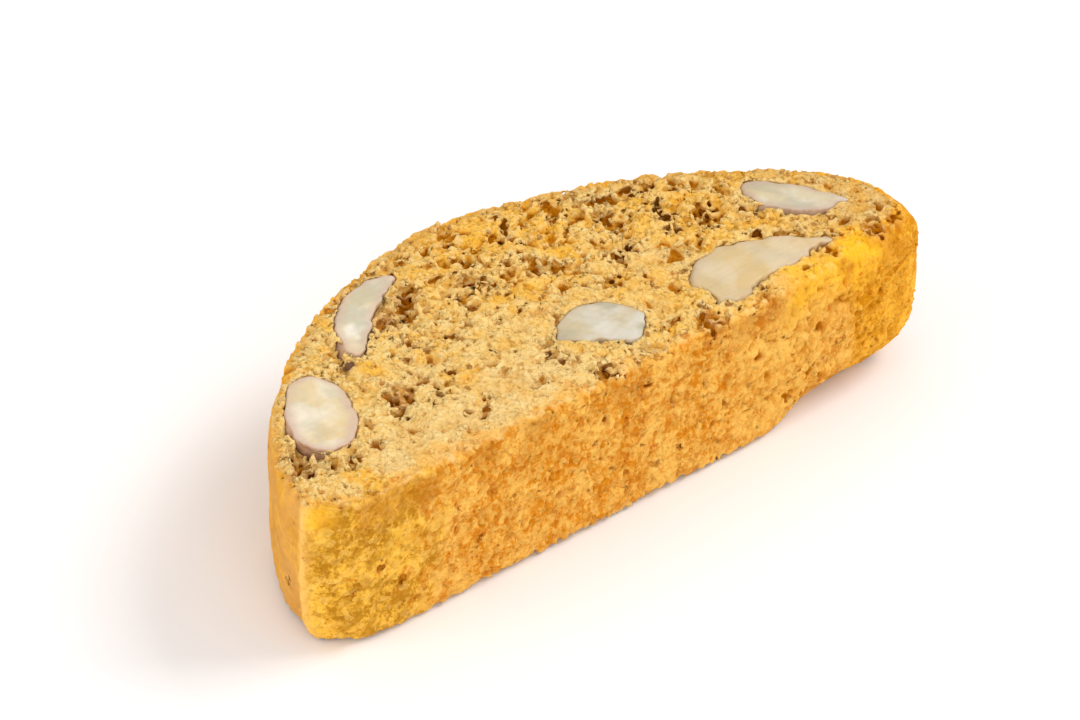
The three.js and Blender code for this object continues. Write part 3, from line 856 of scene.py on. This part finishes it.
def bake_colours(piece, dough):
    """Paints on the crumb and crust where each finish goes."""
    points = mesh_points(piece)
    x, y, z = points.T

    def look(field):
        return dough.look(field, points)

    def clouds(size, seed):
        return look(dough.clouds(size, seed))

    def packed(reach):
        """How much of what is near each point is dough, from -1 to 1."""
        return look(blurred(solid, reach)) * 2 - 1

    solid = (dough.field < 0).astype(np.float32)
    close = packed(max(1, round(0.5 / dough.step)))
    wide = packed(max(2, round(1.5 / dough.step)))
    side, cut = look(dough.side), look(dough.cut)
    deep = np.clip(-look(dough.plain), 0, 3)
    patchy, mottle, speckle = clouds(5.5, 51), clouds(2.2, 52), clouds(1.0, 53)

    # the crust: underside, dome, its left end, and a painted highlight along the corner between them
    crust = smoothstep(side - cut + 0.3 * mottle + 0.3 * speckle, -0.6, 0.0)
    tip = BASE + np.where(x < 0, TIP_RISE[-1], TIP_RISE[1])
    under = smoothstep(tip - y + 0.15 * mottle, -0.4, 0.5)
    # corner: a painted highlight along the edge between the left end and the underside
    corner = np.exp(-(((y - tip) / 0.5) ** 2)) * smoothstep(-x, 38, 40) * crust
    strip = (1 - under) * smoothstep(-x, 33, 38) * crust * np.clip(0.75 + 0.3 * mottle, 0, 1)
    streak = clouds((2.0, 2.0, 6.0), 55) + 0.5 * speckle

    # the toasted right end, what spills over from it, browning below the upper edge, and spots darkened over
    # the larger hollows as painted shade
    toast = smoothstep(x + 0.19 * z + 0.5 * patchy, 31.2, 33.2) * smoothstep(-y, 4, 9)
    toast *= np.maximum(crust, smoothstep(-y, 10.5, 12.5))
    spill = smoothstep(-side - 0.6 * mottle, 3.6, 1.8) * smoothstep(x, 19, 23) * smoothstep(-y, 9, 12)
    spill *= smoothstep(x, 36, 33) * np.maximum(1 - crust, smoothstep(z + patchy, 12, 18))
    spot = np.exp(-((x + 41.5) ** 2 + (y + 12.6) ** 2 + (z - 17.5) ** 2) / 2.5)
    below_edge = smoothstep(z, THICKNESS - 6, THICKNESS - 1) * smoothstep(patchy, 0.0, 0.9)
    browned = near_line(x, z, (-36.5, THICKNESS - 1), (-29.5, THICKNESS - 2.5)) + 0.6 * mottle
    below_edge = np.maximum(below_edge, smoothstep(browned, 2.6, 0.6))
    # painted shade over the larger hollows, with some scorching
    scorch = np.zeros(len(points))
    for spot_x, spot_y, radius in HOLLOW_SHADES:
        away = np.hypot(x - spot_x, y - spot_y) / radius + 0.25 * mottle
        scorch = np.maximum(scorch, smoothstep(away, 1.0, 0.35) * smoothstep(z, THICKNESS - 4, THICKNESS - 2))

    # the crumb: its amber patches, painted shade deep in its pits, painted highlight on the tops of its
    # grains, its edges, and where grains may stick
    amber = smoothstep(x + 0.9 * y, -18, 14) * smoothstep(x, 36, 28) * smoothstep(patchy, -1.6, 1.2)
    amber = np.maximum(0.8 * amber, 0.75 * smoothstep(clouds(4.2, 54), 0.5, 1.7)) * (1 - crust)
    # painted shade: strongest where dough closes round a point and where it lies deep below the plain slice
    pit = np.clip(0.06 + 0.55 * close + 0.8 * wide + 0.35 * np.clip(deep - 0.4, 0, 1.2), 0, 1)
    rim = smoothstep(-side - 0.25 * mottle, 1.8, 0.3) * smoothstep(y, BASE + 1, BASE + 4)
    bleed = smoothstep(-side + 0.9 * mottle + 0.5 * patchy, 2.2, -0.2)
    bleed = bleed * smoothstep(-y, HEIGHT / 2 - 4, HEIGHT / 2 - 2)
    stuck = np.where(crust > 0.5, 0.4 * under, 1.0) * smoothstep(z, 0.6, 1.2)
    stuck *= smoothstep(z, *(THICKNESS + height for height in GRAIN_TOP))
    near_almond = np.min([almond_distance(points, almond)[0] for almond in ALMONDS], 0)
    stuck *= smoothstep(near_almond, ALMOND_CLEARANCE, ALMOND_CLEARANCE + 0.3)
    stuck *= smoothstep(deep, 0.9, 0.4)
    coarse, sandy = (dough.grain_numbers(points, grain) for grain in (COARSE_GRAIN, SANDY_GRAIN))

    paint(
        piece,
        crust=crust,
        underside=under,
        olive=smoothstep(-x + 1.5 * mottle, *SMOOTH_END) * under,
        streak=smoothstep(streak, 0.0, 1.4),
        sand=smoothstep(x + 2.0 * patchy, 12, 18) * under,
        toast=np.clip(toast, 0, 1),
        glow=np.clip(spill + spot, 0, 1),
        # painted highlight along the left corner edge
        corner=corner * np.clip(0.9 + 0.25 * speckle, 0, 1),
        strip=strip,
        # painted shade over the hollows, with browned crust below the upper edge
        scorch=np.clip(scorch + 0.6 * below_edge * crust * under, 0, 1),
        # painted shade of the pits, weaker towards the lower left
        pit=pit * (0.55 + 0.45 * smoothstep(x + 0.9 * y, -12, 14)),
        # painted highlight where the crumb bulges out
        crest=np.clip(-close, 0, 1),
        amber=amber,
        fine=look(np.broadcast_to(dough.fine, dough.shape)),
        cut=smoothstep(side - cut, 0.2, -0.6),
        stuck=stuck,
        tone=0.45 * coarse + 0.35 * sandy + 0.2 * (0.5 + 0.25 * mottle),
        bleed=0.7 * bleed,
        rim=np.maximum(rim, 0.45 * smoothstep(x + 0.8 * mottle, 22, 36)),
    )


# --- Materials ---

class Nodes:
    """A node tree, built step by step."""

    def __init__(self, tree):
        self.tree = tree

    def feed(self, node, inputs):
        """Joins each of a node's inputs to a socket, or sets its value."""
        for key, value in inputs.items():
            if isinstance(value, bpy.types.NodeSocket):
                self.tree.links.new(value, node.inputs[key])
            else:
                node.inputs[key].default_value = value

    def add(self, kind, inputs=None, **settings):
        made = self.tree.nodes.new(kind)
        for key, value in settings.items():
            setattr(made, key, value)
        self.feed(made, inputs or {})
        return made

    def maths(self, operation, a, b):
        return self.add("ShaderNodeMath", {0: a, 1: b}, operation=operation).outputs[0]

    def vector_maths(self, operation, inputs):
        return self.add("ShaderNodeVectorMath", inputs, operation=operation).outputs[0]

    def times(self, a, b):
        return self.maths("MULTIPLY", a, b)


class Finish(Nodes):
    """A material. Its patterns lie on Object coordinates, with sizes in millimetres."""

    def __init__(self, name):
        self.material = bpy.data.materials.new(name)
        self.material.use_nodes = True
        super().__init__(self.material.node_tree)
        self.shader = self.tree.nodes["Principled BSDF"]
        self.place = self.add("ShaderNodeTexCoord").outputs["Object"]

    def layer(self, name, share=None):
        """A painted layer of the piece, or a share of it."""
        value = self.add("ShaderNodeAttribute", attribute_name=name).outputs["Fac"]
        return value if share is None else self.times(value, share)

    def noise(self, size, detail=2.0, rough=0.5, place=None):
        """Noise whose lumps are about `size` across."""
        return self.add("ShaderNodeTexNoise", {
            "Vector": place or self.place, "Scale": 1 / (size * MM), "Detail": detail, "Roughness": rough,
        }).outputs["Fac"]

    def streaks(self, wide, long):
        """Noise drawn out along X, as the marks of a knife."""
        squeezed = self.vector_maths("MULTIPLY", {0: self.place, 1: (wide / long, 1.0, 1.0)})
        return self.noise(wide, place=squeezed)

    def scatter(self, size):
        """How far the nearest of many scattered points is, and its number from 0 to 1."""
        made = self.add("ShaderNodeTexVoronoi", {"Vector": self.place, "Scale": 1 / (size * MM)})
        number = self.add("ShaderNodeSeparateColor", {"Color": made.outputs["Color"]}).outputs["Red"]
        return made.outputs["Distance"], number

    def blend(self, *parts):
        """The sum of several values, each times its share."""
        return functools.reduce(
            lambda total, part: self.maths("ADD", total, self.times(*part)), parts, 0.0
        )

    def between(self, value, low, high, out_low=0.0, out_high=1.0):
        """A value stretched from one range to another, held at its ends."""
        return self.add("ShaderNodeMapRange", {
            "Value": value, "From Min": low, "From Max": high, "To Min": out_low, "To Max": out_high,
        }, interpolation_type="SMOOTHSTEP").outputs["Result"]

    def mix(self, share, a, b, blend="MIX"):
        """The second colour over the first, by a share."""
        a, b = (colour if isinstance(colour, bpy.types.NodeSocket) else (*colour, 1.0) for colour in (a, b))
        made = self.add("ShaderNodeMix", {"Factor": share, 6: a, 7: b}, data_type="RGBA", blend_type=blend)
        return made.outputs[2]

    def coats(self, colour, *coats):
        """A colour with others over it, one after another, as pairs of share and colour."""
        for share, coat in coats:
            colour = self.mix(share, colour, coat)
        return colour

    def bump(self, height, depth):
        made = self.add("ShaderNodeBump", {"Distance": depth * MM, "Strength": 1.0, "Height": height})
        self.feed(self.shader, {"Normal": made.outputs["Normal"]})

    def surface(self, colour, roughness, specular=0.3, soft=0.0, reach=1.0):
        """The finished material, with how dull and shiny it is and how far light gets into it."""
        self.feed(self.shader, {
            "Base Color": colour,
            "Roughness": roughness,
            "Specular IOR Level": specular,
            "Subsurface Weight": soft,
            "Subsurface Radius": (1.0, 0.6, 0.3),
            "Subsurface Scale": reach * MM,
        })
        return self.material


def baked_finish(crumb, crust):
    """Crumb on the cut faces and crust on the loaf's outside, by the piece's painted layers."""
    f = Finish("baked_dough")
    under, fine, crusty, streak = (f.layer(name) for name in ("underside", "fine", "crust", "streak"))
    near_fleck, fleck_number = f.scatter(1.3)
    near_grit, grit_number = f.scatter(0.7)

    tone = f.blend((f.noise(0.45, 3, 0.65), 0.5), (f.layer("tone"), 0.35), (f.noise(5.0, 2), 0.15))
    fleck = f.between(fleck_number, 0.90, 0.93, 0.0, 0.8)
    fleck = f.times(fleck, f.between(near_fleck, 0.22, 0.34, 1.0, 0.0))
    open_crumb = f.coats(
        f.mix(f.between(tone, 0.32, 0.62), crumb.gold, crumb.pale),
        (f.layer("amber", 0.85), crumb.amber),
        (f.times(fine, 0.5), crumb.fine),
        (fleck, crumb.fleck),
        (f.layer("rim", 0.6), crust.rim),
        (f.layer("bleed"), crust.bleed),
    )

    mottle = f.blend((f.noise(2.8, 6, 0.85), 0.6), (f.noise(0.4, 3, 0.65), 0.3), (f.layer("tone"), 0.10))
    patch = f.between(f.noise(6.0, 3, 0.6), 0.42, 0.60, -0.2, 0.2)
    mottle = f.maths("ADD", f.between(mottle, 0.42, 0.57), patch)
    smooth_end = f.coats(f.mix(mottle, crust.olive, crust.golden), (f.times(streak, 0.75), crust.olive))
    bottom = f.coats(
        f.mix(mottle, crust.orange, crust.sandy),
        (f.layer("sand", 0.35), crust.sandy),
        (f.between(f.noise(2.4, 4, 0.7), 0.53, 0.63, 0.0, 0.7), crust.blotch),
        (f.layer("olive"), smooth_end),
    )
    dome = f.blend((f.noise(3.0, 6, 0.7), 0.7), (f.noise(0.9, 3, 0.6), 0.3))
    dome = f.mix(f.between(dome, 0.40, 0.60), crust.dome, crust.dome_pale)
    outside = f.coats(
        f.mix(under, dome, bottom),
        (f.times(f.between(grit_number, 0.55, 0.95, 0.0, 0.45), under), crust.crisp),
        (f.between(f.scatter(1.7)[0], 0.08, 0.20, 0.35, 0.0), crust.speck),
    )
    toasted = f.coats(f.mix(mottle, crust.deep, crust.bright), (f.times(streak, 0.4), crust.deep))

    open_share = f.maths("MAXIMUM", f.layer("cut"), f.times(under, 0.4))
    # the finest pores and crevices: pressed in by the bump and painted darker as their shade
    shaded_pore = f.between(f.noise(0.55, 3, 0.6), 0.33, 0.41, 1.0, 0.0)
    shaded_pore = f.times(shaded_pore, f.between(fine, 0.0, 1.0, 1.0, 0.5))
    pinprick = f.times(f.between(near_grit, 0.12, 0.30, 1.0, 0.0), fine)
    shaded_pore = f.times(f.maths("MAXIMUM", shaded_pore, pinprick), open_share)
    shaded_crevice = f.times(f.between(f.scatter(0.55)[0], 0.40, 0.75), open_share)
    colour = f.coats(
        f.mix(crusty, open_crumb, outside),
        (f.layer("toast"), toasted),
        (f.layer("glow", 0.85), f.mix(mottle, crust.bright, crust.glow)),
        (f.times(f.layer("strip"), f.between(streak, 0.0, 1.0, 0.75, 0.35)), crust.strip),
        # painted highlight along the left corner edge
        (f.layer("corner"), crust.corner),
        # scorched crust, and painted shade over the larger hollows
        (f.layer("scorch", 0.75), crust.scorch),
        # painted highlight on the grain tops, in crumb colour on the cut faces and sandy colour on the crust
        (f.between(f.layer("crest"), 0.05, 0.5, 0.0, 0.42), f.mix(crusty, crumb.crest, crust.sandy)),
        # painted shade of the finest pores and crevices
        (f.blend((shaded_pore, 0.33), (shaded_crevice, 0.12)), crumb.shaded_pore),
        # painted shade deep in the pits and hollows
        (f.between(f.layer("pit"), 0.04, 0.52, 0.0, 0.97), crumb.pit),
    )
    f.bump(f.blend((f.noise(0.3, 3, 0.65), 1.0), (f.noise(0.8, 2), 0.7), (shaded_pore, -0.7), (shaded_crevice, -0.6)), 0.18)
    return f.surface(colour, 0.92, 0.06, 0.06, 0.8)


def almond_finish(almonds):
    """Waxy flesh inside a thin brown skin."""
    f = Finish("cut_almond")
    warmth, inward, coat = f.layer("warmth"), f.layer("skin"), f.layer("coat")
    cool = f.between(warmth, 0.0, 1.0, 0.9, 0.25)
    blush = f.between(f.blend((inward, 1.0), (f.noise(3.0, 3), 1.2)), 0.6, 2.1, 0.9, 0.0)
    skin_edge = f.between(f.blend((inward, 1.0), (f.noise(1.5, 2), -0.35)), -0.16, 0.06, 0.85, 0.0)
    skin = f.mix(f.between(f.noise(0.7, 3), 0.3, 0.7), almonds.skin, almonds.worn_skin)
    colour = f.coats(
        f.mix(warmth, almonds.ivory, almonds.cream),
        (f.between(f.noise(7.0, 2), 0.35, 0.65, 0.0, 0.45), almonds.cream),
        (f.times(f.between(f.noise(4.5, 3), 0.42, 0.62), cool), almonds.white),
        (f.times(f.between(f.noise(3.6, 2), 0.44, 0.62), cool), almonds.dim),
        (f.between(f.layer("seam"), 0.0, 0.25, 0.08, 0.0), almonds.skin),
        (f.times(blush, coat), almonds.blush),
        (f.times(skin_edge, coat), skin),
    )
    marks = f.streaks(0.45, 6.0)
    shade = f.times(f.layer("shade"), f.between(marks, 0.3, 0.7, 0.975, 1.02))
    grey = f.add("ShaderNodeCombineColor", dict.fromkeys(range(3), shade)).outputs["Color"]
    colour = f.mix(1.0, colour, grey, "MULTIPLY")
    f.bump(f.blend((f.noise(0.6, 3), 1.0), (f.noise(2.2, 1), 1.5), (marks, 0.4)), 0.09)
    return f.surface(colour, 0.55, 0.3, 0.2, 1.2)


def floor_finish(stage):
    """Plain white board."""
    f = Finish("white_board")
    colour = f.mix(f.between(f.noise(60.0, 2), 0.3, 0.7), stage.floor, [c * 0.995 for c in stage.floor])
    return f.surface(colour, 0.6, 0.2)


# --- Grains that repeat ---

def scatter_tree(material):
    """Geometry nodes that leave small rough grains on a surface, and the identifiers of their inputs."""
    tree = bpy.data.node_groups.new("Stuck grains", "GeometryNodeTree")
    tree.is_modifier = True
    nodes = Nodes(tree)

    def socket(name, kind, way="INPUT"):
        made = tree.interface.new_socket(name=name, in_out=way, socket_type=f"NodeSocket{kind}")
        return made.identifier

    kinds = {"Surface": "Geometry", "Density": "Float", "Size": "Float", "Seed": "Int"}
    sockets = {name: socket(name, kind) for name, kind in kinds.items()}
    socket("Grains", "Geometry", "OUTPUT")
    given = nodes.add("NodeGroupInput").outputs

    def draw(kind, low, high, salt):
        """A random value for each grain, between two ends."""
        least, most, result = {"FLOAT_VECTOR": (0, 1, 0), "FLOAT": (2, 3, 1), "INT": (4, 5, 2)}[kind]
        seed = nodes.maths("ADD", given["Seed"], salt)
        made = nodes.add("FunctionNodeRandomValue", {least: low, most: high, "Seed": seed}, data_type=kind)
        return made.outputs[result]

    shapes = nodes.add("GeometryNodeJoinGeometry")
    for n in range(GRAIN_SHAPES):
        ball = nodes.add("GeometryNodeMeshIcoSphere", {"Radius": 1.0, "Subdivisions": 1})
        rough = nodes.add(
            "ShaderNodeTexNoise", {"W": 10.0 * n, "Scale": 0.9, "Detail": 3.0}, noise_dimensions="4D"
        )
        shift = nodes.vector_maths("SUBTRACT", {0: rough.outputs["Color"], 1: (0.5, 0.5, 0.5)})
        push = nodes.vector_maths("MULTIPLY", {0: shift, 1: (2.6, 2.6, 2.6)})
        lumpy = nodes.add("GeometryNodeSetPosition", {"Geometry": ball.outputs["Mesh"], "Offset": push})
        single = nodes.add("GeometryNodeGeometryToInstance", {"Geometry": lumpy.outputs["Geometry"]})
        nodes.feed(shapes, {"Geometry": single.outputs["Instances"]})
    share = nodes.add("GeometryNodeInputNamedAttribute", {"Name": "stuck"}, data_type="FLOAT")
    spread = nodes.add("GeometryNodeDistributePointsOnFaces", {
        "Mesh": given["Surface"],
        "Density": nodes.times(given["Density"], share.outputs["Attribute"]),
        "Seed": given["Seed"],
    }, distribute_method="RANDOM")
    size = nodes.times(given["Size"], nodes.maths("POWER", draw("FLOAT", 0.6, 1.3, 2), 2.0))
    stretch = draw("FLOAT_VECTOR", (0.7,) * 3, (1.3,) * 3, 3)
    grains = nodes.add("GeometryNodeInstanceOnPoints", {
        "Points": spread.outputs["Points"],
        "Instance": shapes.outputs["Geometry"],
        "Pick Instance": True,
        "Instance Index": draw("INT", 0, GRAIN_SHAPES - 1, 4),
        "Rotation": draw("FLOAT_VECTOR", (0.0,) * 3, (math.tau,) * 3, 1),
        "Scale": nodes.vector_maths("SCALE", {0: stretch, "Scale": size}),
    })
    real = nodes.add("GeometryNodeRealizeInstances", {"Geometry": grains.outputs["Instances"]})
    coat = nodes.add("GeometryNodeSetMaterial", {"Geometry": real.outputs["Geometry"], "Material": material})
    nodes.add("NodeGroupOutput", {"Grains": coat.outputs["Geometry"]})
    return tree, sockets


# --- Operators ---

class BISCOTTO_OT_crumb(bpy.types.Operator):
    """Carves the crumb and crust, with their pores, hollows, chips and almond pockets"""

    bl_idname = "biscotto.crumb"
    bl_label = "Add crumb and crust"

    def execute(self, context):
        crumb, crust = context.scene.biscotto_crumb, context.scene.biscotto_crust
        almonds = context.scene.biscotto_almonds
        dough = Dough(crumb.grid_step / MM * (1.0))
        dough.shape_loaf()
        dough.open_crumb()
        dough.chip_edges()
        dough.prick_faces(crumb.pores, seed=71)
        dough.open_hollows(seed=41)
        dough.prick_crust(crust.pinholes, seed=81)
        dough.press_almonds(almonds.gap / MM, almonds.grid_step / MM)
        piece = mesh_of("crumb_and_crust", *largest_part(*surface_of(dough)))
        thinned(piece, crumb.other_triangles, ~shown_points(piece))
        thinned(piece, crumb.shown_triangles, shown_points(piece))
        bake_colours(piece, dough)
        finish_piece(piece, baked_finish(crumb, crust), "crumb", "biscuit")
        return {"FINISHED"}


class BISCOTTO_OT_stuck_crumbs(bpy.types.Operator):
    """Scatters small irregular grains that stick to the crumb and crust"""

    bl_idname = "biscotto.stuck_crumbs"
    bl_label = "Add stuck crumbs"

    def execute(self, context):
        crumb = context.scene.biscotto_crumb
        mesh = bpy.data.objects["crumb_and_crust"].data.copy()
        material = mesh.materials[0]
        piece = bpy.data.objects.new("stuck_crumbs", mesh)
        context.scene.collection.objects.link(piece)
        modifier = piece.modifiers.new("Stuck crumbs", "NODES")
        modifier.node_group, sockets = scatter_tree(material)
        modifier[sockets["Density"]] = crumb.grains * 1e4
        modifier[sockets["Size"]] = crumb.grain_size
        modifier[sockets["Seed"]] = GRAIN_SEED
        applied(piece)
        finish_piece(piece, material, "crumb")
        return {"FINISHED"}


class BISCOTTO_OT_almonds(bpy.types.Operator):
    """Adds the almonds, cut off flush with the crumb"""

    bl_idname = "biscotto.almonds"
    bl_label = "Add almonds"

    def execute(self, context):
        almonds = context.scene.biscotto_almonds
        material = almond_finish(almonds)
        for number, kernel in enumerate(kernels(almonds.grid_step / MM), 1):
            piece = mesh_of(f"kernel_{number}", *largest_part(*surface_of(kernel)))
            thinned(piece, ALMOND_TRIANGLES)
            at = mesh_points(piece)
            paint(piece, skin=np.clip(-kernel.look(kernel.coat, at), 0, 2))
            paint(piece, seam=np.abs(kernel.look(kernel.across, at)))
            paint(piece, **dict(zip(("warmth", "shade", "coat"), kernel.almond.flesh)))
            finish_piece(piece, material, "almond", f"almond_{number}")
        return {"FINISHED"}


class BISCOTTO_OT_stage(bpy.types.Operator):
    """Adds the floor, the soft light and the camera"""

    bl_idname = "biscotto.stage"
    bl_label = "Add stage"

    def execute(self, context):
        stage = context.scene.biscotto_stage
        mesh = bpy.data.meshes.new("floor")
        half = FLOOR_HALF
        corners = [(-half, -half), (half, -half), (half, half), (-half, half)]
        mesh.from_pydata([(x, y, FLOOR_LEVEL) for x, y in corners], [], [(0, 1, 2, 3)])
        mesh.materials.append(floor_finish(stage))
        floor = bpy.data.objects.new("floor", mesh)
        context.scene.collection.objects.link(floor)
        self.light(context.scene)
        self.camera(context.scene, stage)
        return {"FINISHED"}

    def light(self, scene):
        scene.world = bpy.data.worlds.new("soft_room")
        scene.world.use_nodes = True
        sky = scene.world.node_tree.nodes["Background"].inputs
        sky["Color"].default_value = SKY
        sky["Strength"].default_value = SKY_STRENGTH
        for name, (place, size, power) in SOFTBOXES.items():
            lamp = bpy.data.lights.new(name, "AREA")
            lamp.size = size
            lamp.energy = power
            holder = bpy.data.objects.new(name, lamp)
            holder.location = place
            holder.rotation_euler = (-Vector(place)).to_track_quat("-Z", "Y").to_euler()
            scene.collection.objects.link(holder)
        scene.view_settings.view_transform = "Standard"

    def camera(self, scene, stage):
        lens = bpy.data.cameras.new("camera")
        lens.lens = stage.lens
        lens.clip_start = 0.01
        camera = bpy.data.objects.new("camera", lens)
        low, high = CAD_BOX
        place = Vector(stage.camera_place)
        turn = ((low + high) / 2 - place).to_track_quat("-Z", "Y").to_matrix().to_4x4()
        camera.matrix_world = Matrix.Translation(place) @ turn @ Matrix.Rotation(stage.camera_roll, 4, "Z")
        scene.collection.objects.link(camera)
        scene.camera = camera


class BISCOTTO_PT_panel(bpy.types.Panel):
    """Lists the biscotto's pieces and settings in the sidebar"""

    bl_idname = "BISCOTTO_PT_panel"
    bl_label = "Biscotto"
    bl_space_type = "VIEW_3D"
    bl_region_type = "UI"
    bl_category = "Biscotto"

    def draw(self, context):
        for operator in OPERATORS:
            self.layout.operator(operator.bl_idname)
        for group in SETTINGS:
            box = self.layout.box()
            settings = getattr(context.scene, group)
            for name in settings.bl_rna.properties.keys():
                if name not in ("rna_type", "name"):
                    box.prop(settings, name)


SETTINGS = {
    "biscotto_crumb": BiscottoCrumbSettings,
    "biscotto_crust": BiscottoCrustSettings,
    "biscotto_almonds": BiscottoAlmondSettings,
    "biscotto_stage": BiscottoStageSettings,
}
OPERATORS = (BISCOTTO_OT_crumb, BISCOTTO_OT_stuck_crumbs, BISCOTTO_OT_almonds, BISCOTTO_OT_stage)
CLASSES = (*SETTINGS.values(), *OPERATORS, BISCOTTO_PT_panel)


def register():
    for cls in CLASSES:
        bpy.utils.register_class(cls)
    for name, cls in SETTINGS.items():
        setattr(bpy.types.Scene, name, bpy.props.PointerProperty(type=cls))


def unregister():
    for name in SETTINGS:
        delattr(bpy.types.Scene, name)
    for cls in reversed(CLASSES):
        bpy.utils.unregister_class(cls)


def main():
    register()
    bpy.ops.biscotto.crumb()
    bpy.ops.biscotto.stuck_crumbs()
    bpy.ops.biscotto.almonds()
    bpy.ops.biscotto.stage()


if __name__ == "__main__":
    main()
